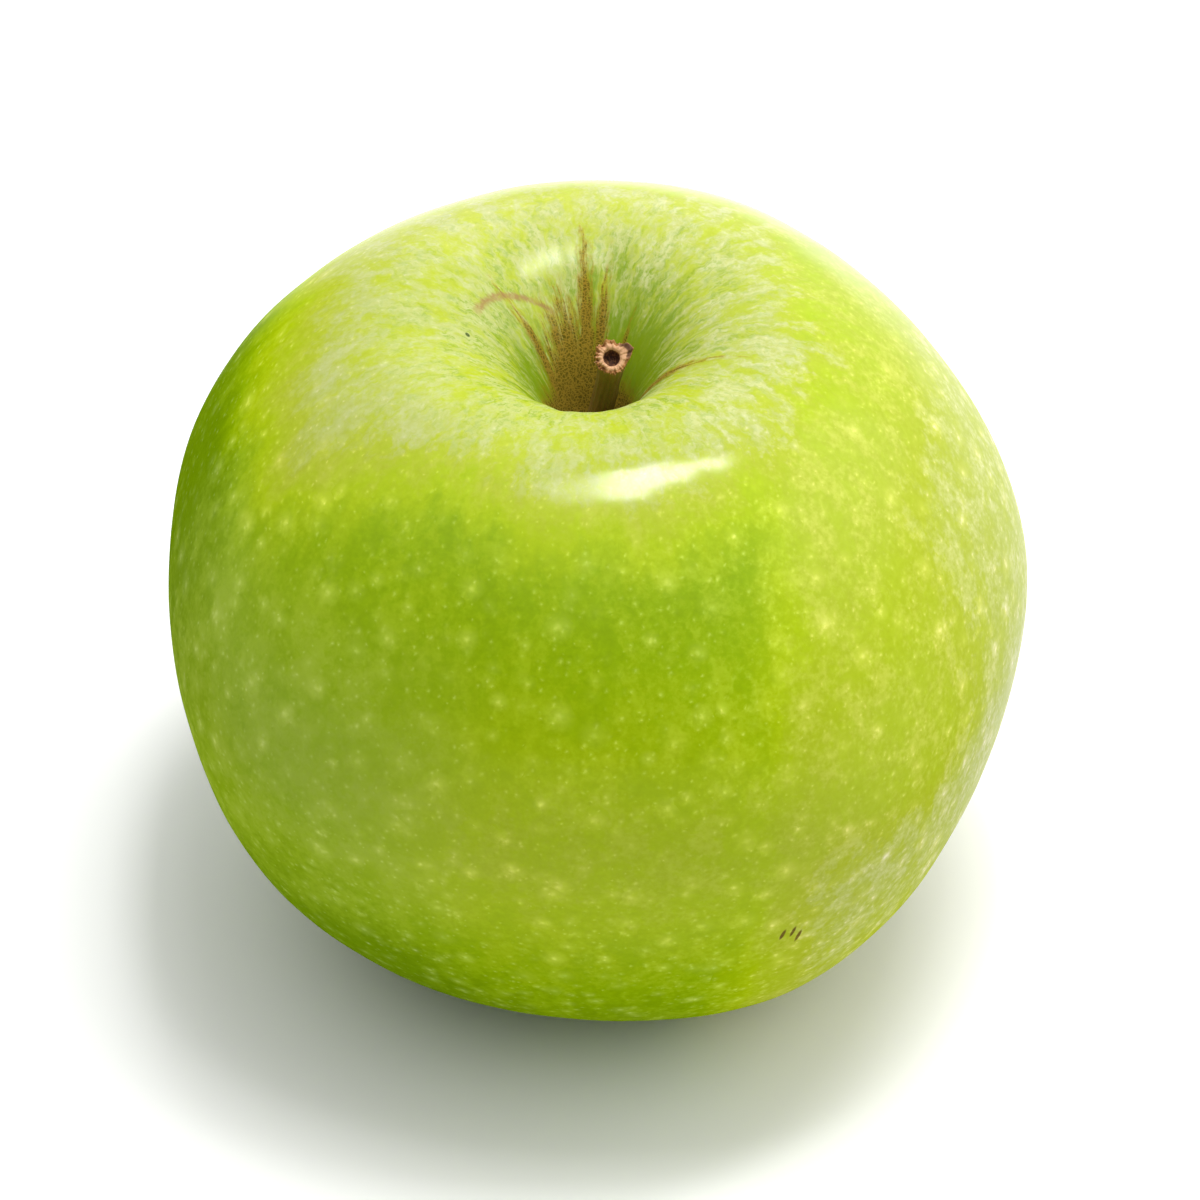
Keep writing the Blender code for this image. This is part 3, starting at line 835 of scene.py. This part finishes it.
def stalk_wood():
    finish, tree, shader = blank_material("stalk_wood")
    grew = growth_here(tree)
    along = add(tree, "SeparateXYZ", grew).outputs[2]
    place = in_millimetres(tree)
    fibres = use(tree, STREAKS, grew, 60.0, 7.0, 3.0)["Streak"]
    net = use(tree, CORK, place, 3.4)
    grain = chance(tree, place, 4.0, 4.0, 0.65)
    colour = tint(tree, ease(tree, fibres, 0.4, 0.62), BARK_OLIVE, BARK_BROWN)
    colour = tint(tree, times(tree, net["Net"], 0.4), colour, RUSSET_ORANGE)

    # The torn end: orange bark, a pale ring of wood, a painted shadow behind the lip, and the pith.
    torn = ease(tree, blend(tree, grain, 0.06, along), 0.99, 1.03)
    colour = tint(tree, torn, colour, tint(tree, ease(tree, grain, 0.34, 0.54), PITH_BROWN, TORN_ORANGE))
    patchy = times(tree, ease(tree, grain, 0.34, 0.50, 0.35, 1.0), 0.95)
    wood = times(tree, ease(tree, along, 1.085, 1.11), patchy)
    rim_wood = times(tree, ease(tree, along, 1.02, 1.04), ease(tree, grain, 0.52, 0.62, 0.0, 0.75))
    colour = tint(tree, maths(tree, "MAXIMUM", wood, rim_wood), colour, TORN_WOOD)
    # Painted shade: the band behind the lip of bark is darkened as if in its shadow.
    behind_lip = ease(tree, facing_azimuth(tree, grew, LIP_TURN + 90), 0.80, 0.95)
    hollow = times(tree, ease(tree, along, 1.03, 1.05), ease(tree, along, 1.11, 1.09))
    colour = tint(tree, times(tree, behind_lip, times(tree, hollow, 0.85)), colour, PITH_AND_SHADOW_DARK)
    pith = tint(tree, ease(tree, grain, 0.46, 0.66), PITH_AND_SHADOW_DARK, PITH_BROWN)
    colour = tint(tree, ease(tree, along, 1.19, 1.26), colour, pith)

    tree.links.new(colour, shader.inputs["Base Color"])
    tree.links.new(blend(tree, grain, 0.3, 0.55), shader.inputs["Roughness"])
    height = blend(tree, fibres, 1.0, times(tree, grain, 0.6))
    raise_surface(tree, shader, height, 0.6, 0.1)
    return finish


stalk.data.materials.append(stalk_wood())
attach(stalk, "root")
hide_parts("stalk")

# ---------------------------------------------------------------------------------------------------
# The sepals. Five dried leaves of the flower, brown and brittle. They hang round the rim of the cup in
# the basin, lean together, and curl out at their tips.

SEPALS, SEPAL_LENGTH, SEPAL_WIDTH = 5, 6.6, 3.0
SEPAL_ROWS, SEPAL_STEPS = 30, 14
SEPAL_REACH, SEPAL_LEAN, SEPAL_CURL = 2.9, 3.4, 1.2  # where it grows, how it leans in, how its tip curls
SEPAL_SLANT = 0.75  # how far a sepal reaches down, as a share of its length
LEAF_HALF_THICKNESS, LEAF_CUPPING, MIDRIB_HEIGHT = 0.11, 0.30, 0.10
CUP_GAP = 0.3


def sepal_leaf(number):
    """A thin shell of leaf, row by row to its tip: across its outer face and back across its inner one."""
    t = np.linspace(0, 1, SEPAL_ROWS)[:, None]
    over = np.linspace(-1, 1, SEPAL_STEPS)
    u = np.concatenate([over, over[::-1]])[None, :]
    face = np.concatenate([np.ones(SEPAL_STEPS), -np.ones(SEPAL_STEPS)])[None, :]
    half_width = 0.5 * SEPAL_WIDTH * (1 - t) ** 0.7 * (1 + 0.5 * t) + 0.10
    curl = SEPAL_CURL + 0.35 * math.cos(2.1 * number)
    out = SEPAL_REACH - SEPAL_LEAN * t * (1 - t) + curl * t**3
    down = BASIN_DEPTH - FOOT_FLAT - CUP_GAP - SEPAL_SLANT * SEPAL_LENGTH * t
    slope_out, slope_down = np.gradient(out, axis=0), np.gradient(down, axis=0)
    steep = np.hypot(slope_out, slope_down)
    spots = np.stack([3 * t + 0 * u, 1.3 * u + 0 * t, 0 * t * u + 5.0 * number], -1)
    crinkle = 0.22 * uneven(spots, 1.0, 7.7) + 0.07 * uneven(spots, 0.28, 1.9)
    midrib = MIDRIB_HEIGHT * bump_at(u, 0.0, 0.14) * (1 - t)
    cupped = -LEAF_CUPPING * half_width * u**2 + crinkle * (0.3 + 0.7 * u**2)
    half_thick = LEAF_HALF_THICKNESS * (1 - 0.5 * t) * (1 - 0.8 * u**4)
    proud = cupped + midrib + face * half_thick
    twist = 0.35 * math.sin(1.7 * number + 1) * t**2
    sideways = u * half_width * np.cos(twist) + 0.25 * math.sin(3.1 * number) * t**2
    proud = proud + u * half_width * np.sin(twist)
    turn = math.radians(LOBES[0][0] + (number + 0.5) * 360 / SEPALS)
    outwards = np.array([math.sin(turn), -math.cos(turn), 0.0])
    aside = np.array([math.cos(turn), math.sin(turn), 0.0])
    radial = (out - proud * slope_down / steep)[:, :, None] * outwards
    lifted = (down + proud * slope_out / steep)[:, :, None] * np.array([0.0, 0.0, 1.0])
    foot = np.array([LEAN_AT_BASE, 0.0, 0.0]) - core_place
    grew = np.stack(np.broadcast_arrays(u, face, t), -1)
    return radial + sideways[:, :, None] * aside + lifted + foot, grew


LEAF_TAN = (0.330, 0.215, 0.095, 1.0)
LEAF_UMBER = (0.090, 0.055, 0.026, 1.0)
LEAF_OLIVE = (0.150, 0.145, 0.045, 1.0)
DOWN_GREY = (0.500, 0.440, 0.320, 1.0)


def dry_sepal():
    finish, tree, shader = blank_material("dry_sepal")
    grew = growth_here(tree)
    over, _, along = add(tree, "SeparateXYZ", grew).outputs
    place = in_millimetres(tree)
    veins = use(tree, STREAKS, grew, 34.0, 3.0, 5.0)["Streak"]
    net = use(tree, CORK, place, 4.2)
    colour = tint(tree, ease(tree, veins, 0.36, 0.64), LEAF_UMBER, LEAF_TAN)
    colour = tint(tree, ease(tree, along, 0.55, 0.0, 0.0, 0.6), colour, LEAF_OLIVE)
    from_rib = maths(tree, "ABSOLUTE", over)
    colour = tint(tree, ease(tree, from_rib, 0.10, 0.0, 0.0, 0.6), colour, LEAF_TAN)
    colour = tint(tree, ease(tree, from_rib, 0.70, 1.0, 0.0, 0.7), colour, LEAF_UMBER)
    down_hair = times(tree, ease(tree, net["Net"], 0.45, 0.75), ease(tree, along, 0.9, 0.1, 0.05, 0.40))
    colour = tint(tree, down_hair, colour, DOWN_GREY)
    tree.links.new(colour, shader.inputs["Base Color"])
    tree.links.new(blend(tree, net["Net"], 0.15, 0.70), shader.inputs["Roughness"])
    shader.inputs["Specular IOR Level"].default_value = 0.3
    raise_surface(tree, shader, plus(tree, veins, net["Height"]), 0.7, 0.12)
    return finish


dry_leaf = dry_sepal()
for number in range(SEPALS):
    sepal = grown_piece(f"apple_sepal_{number + 1}", sepal_leaf(number))
    sepal.data.materials.append(dry_leaf)
    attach(sepal, "root")
    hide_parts(f"sepal_{number + 1}")

# ---------------------------------------------------------------------------------------------------
# The stamens. The withered tuft inside the cup: thin threads with a dry anther on each, round five
# shorter styles, all hanging from the small woody disc that closes the top of the cup.

STAMENS, STYLES, STAMEN_LENGTH = 15, 5, 3.4
DISC_RADIUS, DISC_THICKNESS = 2.0, 0.6
# The disc's outline from its top to its underside: a share of its radius, and how far down.
DISC_OUTLINE = ((0.2, 0.0), (0.93, 0.0), (1.0, 0.12), (1.0, 0.45), (0.9, 0.6), (0.5, 0.68), (0.15, 0.62))
THREAD_RADIUS, ANTHER_RADIUS = 0.10, 0.24

disc_top = core_at(0) + np.array([0.0, 0.0, BASIN_DEPTH + CUP_DEPTH - CUP_GAP])


def cup_disc():
    """The woody disc, row by row from its top to its underside."""
    turn = np.arange(48) * math.tau / 48
    right, back = np.array([1.0, 0, 0]), np.array([0, 1.0, 0])
    rough = 1 + 0.05 * chance_round(turn, 14, 2.2)
    rows, grew = [], []
    for share, drop in DISC_OUTLINE:
        rows.append(ring(disc_top - (0, 0, drop), DISC_RADIUS * share * rough, right, back, turn))
        grew.append(grown_ring(turn, 0.0))
    return np.array(rows), np.array(grew)


def withered_threads():
    """The stamens and then the styles, each a tube that sways down from the disc."""
    luck = np.random.default_rng(8)
    steps = np.linspace(0, 1, 15)
    for number in range(STAMENS + STYLES):
        is_style = number >= STAMENS
        turn = number * math.tau / (STYLES if is_style else STAMENS) + luck.uniform(-0.15, 0.15)
        out = np.array([math.cos(turn), math.sin(turn), 0.0])
        start = disc_top + (0.5 if is_style else 1.5) * out - (0, 0, DISC_THICKNESS - 0.1)
        length = STAMEN_LENGTH * luck.uniform(0.62, 0.98) * (0.75 if is_style else 1.0) - 0.25
        lean, sway = luck.uniform(-0.75, 0.15), luck.uniform(-0.5, 0.5)
        aside = np.cross(out, (0, 0, 1.0))
        path = []
        for t in steps:
            swayed = (lean * t * t) * out + sway * math.sin(2.6 * t) * aside
            path.append(start + swayed - (0, 0, length * t))
        tip_radius = THREAD_RADIUS if is_style else ANTHER_RADIUS
        anther = (tip_radius - 0.7 * THREAD_RADIUS) * bump_at(steps, 0.92, 0.07)
        radii = THREAD_RADIUS * (1 - 0.3 * steps) + anther
        yield tube(path[::-1], radii[::-1], steps[::-1])


stamens = grown_piece("apple_stamens", cup_disc(), *withered_threads())

THREAD_BROWN = (0.105, 0.058, 0.026, 1.0)
ANTHER_DARK = (0.040, 0.022, 0.014, 1.0)
DISC_TAN = (0.190, 0.130, 0.060, 1.0)


def dry_stamens():
    finish, tree, shader = blank_material("dry_stamens")
    grew = growth_here(tree)
    along = add(tree, "SeparateXYZ", grew).outputs[2]
    place = in_millimetres(tree)
    fibres = use(tree, STREAKS, grew, 20.0, 4.0, 1.0)["Streak"]
    net = use(tree, CORK, place, 5.0)
    colour = tint(tree, ease(tree, fibres, 0.4, 0.6), THREAD_BROWN, DISC_TAN)
    colour = tint(tree, ease(tree, along, 0.0, 0.15, 0.8, 0.0), colour, DISC_TAN)
    colour = tint(tree, ease(tree, along, 0.80, 0.88, 0.0, 0.9), colour, ANTHER_DARK)
    colour = tint(tree, times(tree, net["Net"], 0.35), colour, THREAD_BROWN)
    tree.links.new(colour, shader.inputs["Base Color"])
    tree.links.new(blend(tree, net["Net"], 0.2, 0.68), shader.inputs["Roughness"])
    raise_surface(tree, shader, net["Height"], 0.6, 0.08)
    return finish


stamens.data.materials.append(dry_stamens())
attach(stamens, "root")
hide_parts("stamens")

# ---------------------------------------------------------------------------------------------------
# The studio: a wide floor of pale paper, a soft key light level over the apple, a soft light at its right,
# and an even fill from the room.

FLOOR_HALF = 3.0
floor_corners = [(-1, -1, 0), (1, -1, 0), (1, 1, 0), (-1, 1, 0)]
floor_mesh = bpy.data.meshes.new("studio_floor")
floor_mesh.from_pydata(floor_corners, [], [(0, 1, 2, 3)])
floor_mesh.transform(Matrix.Scale(FLOOR_HALF, 4))
floor = bpy.data.objects.new("studio_floor", floor_mesh)
bpy.context.scene.collection.objects.link(floor)
paper, _, paper_shader = blank_material("floor_paper")
paper_shader.inputs["Base Color"].default_value = (0.92, 0.92, 0.92, 1)
paper_shader.inputs["Roughness"].default_value = 0.9
floor.data.materials.append(paper)

middle = Vector((0.0, 0.0, fruit_high.z / 2))


def towards(azimuth, elevation):
    """The unit direction at this azimuth and elevation."""
    turn, rise = math.radians(azimuth), math.radians(elevation)
    return Vector((math.sin(turn) * math.cos(rise), -math.cos(turn) * math.cos(rise), math.sin(rise)))


def softbox(name, place, width, depth, power, facing):
    """A soft rectangular light at a place beside the apple's middle, facing the way given."""
    lamp = bpy.data.lights.new(name, "AREA")
    lamp.shape = "RECTANGLE"
    lamp.size, lamp.size_y = width, depth
    lamp.energy = power
    box = bpy.data.objects.new(name, lamp)
    box.location = middle + place
    box.rotation_euler = facing.to_track_quat("-Z", "Y").to_euler()
    bpy.context.scene.collection.objects.link(box)


# The key light: panes of one softbox that hangs level over the apple and reaches out to the back right.
KEY_HEIGHT = 0.59
for name, right, back, width, depth, power in (
    ("key_pane_edge", -0.030, 0.000, 0.050, 0.160, 0.16),
    ("key_pane_long", 0.040, 0.040, 0.074, 0.190, 1.28),
    ("key_pane_wide", 0.125, 0.052, 0.090, 0.090, 0.78),
    ("key_pane_tail", 0.228, 0.092, 0.116, 0.054, 0.60),
):
    softbox(name, Vector((right, back, KEY_HEIGHT)), width, depth, power, Vector((0.0, 0.0, -1.0)))
to_the_right = towards(95.0, 28.0)
softbox("right_softbox", to_the_right, 0.9, 0.6, 1.3, -to_the_right)

# The fill comes from a white ceiling and from walls that are brighter behind and to the right.
FILL_LOW, FILL_SPAN = 0.20, 0.99
room = bpy.data.worlds.new("studio_fill")
room.use_nodes = True
room_tree = room.node_tree
heading = add(room_tree, "TexCoord").outputs["Generated"]
brightness = vectors(room_tree, "DOT_PRODUCT", heading, (0.30, 0.45, 0.84))
room_light = ease(room_tree, brightness, -0.25, 1.0, FILL_LOW, FILL_LOW + FILL_SPAN)
room_tree.links.new(room_light, room_tree.nodes["Background"].inputs["Strength"])
room_tree.nodes["Background"].inputs["Color"].default_value = (1.0, 1.0, 1.0, 1.0)
bpy.context.scene.world = room
bpy.context.scene.view_settings.view_transform = "Standard"

# The camera looks at the apple's middle, to within a third of a millimetre.
CAMERA_ELEVATION, CAMERA_DISTANCE = 42.0, 0.55
aim = middle + Vector((0.00015, -0.00029, 0.00012))
lens = bpy.data.cameras.new("studio_camera")
lens.sensor_width = 36.0
lens.lens = 176.3
camera = bpy.data.objects.new("studio_camera", lens)
camera.location = aim + CAMERA_DISTANCE * towards(0.0, CAMERA_ELEVATION)
camera.rotation_euler = (math.radians(90 - CAMERA_ELEVATION), 0, 0)
bpy.context.scene.collection.objects.link(camera)
bpy.context.scene.camera = camera
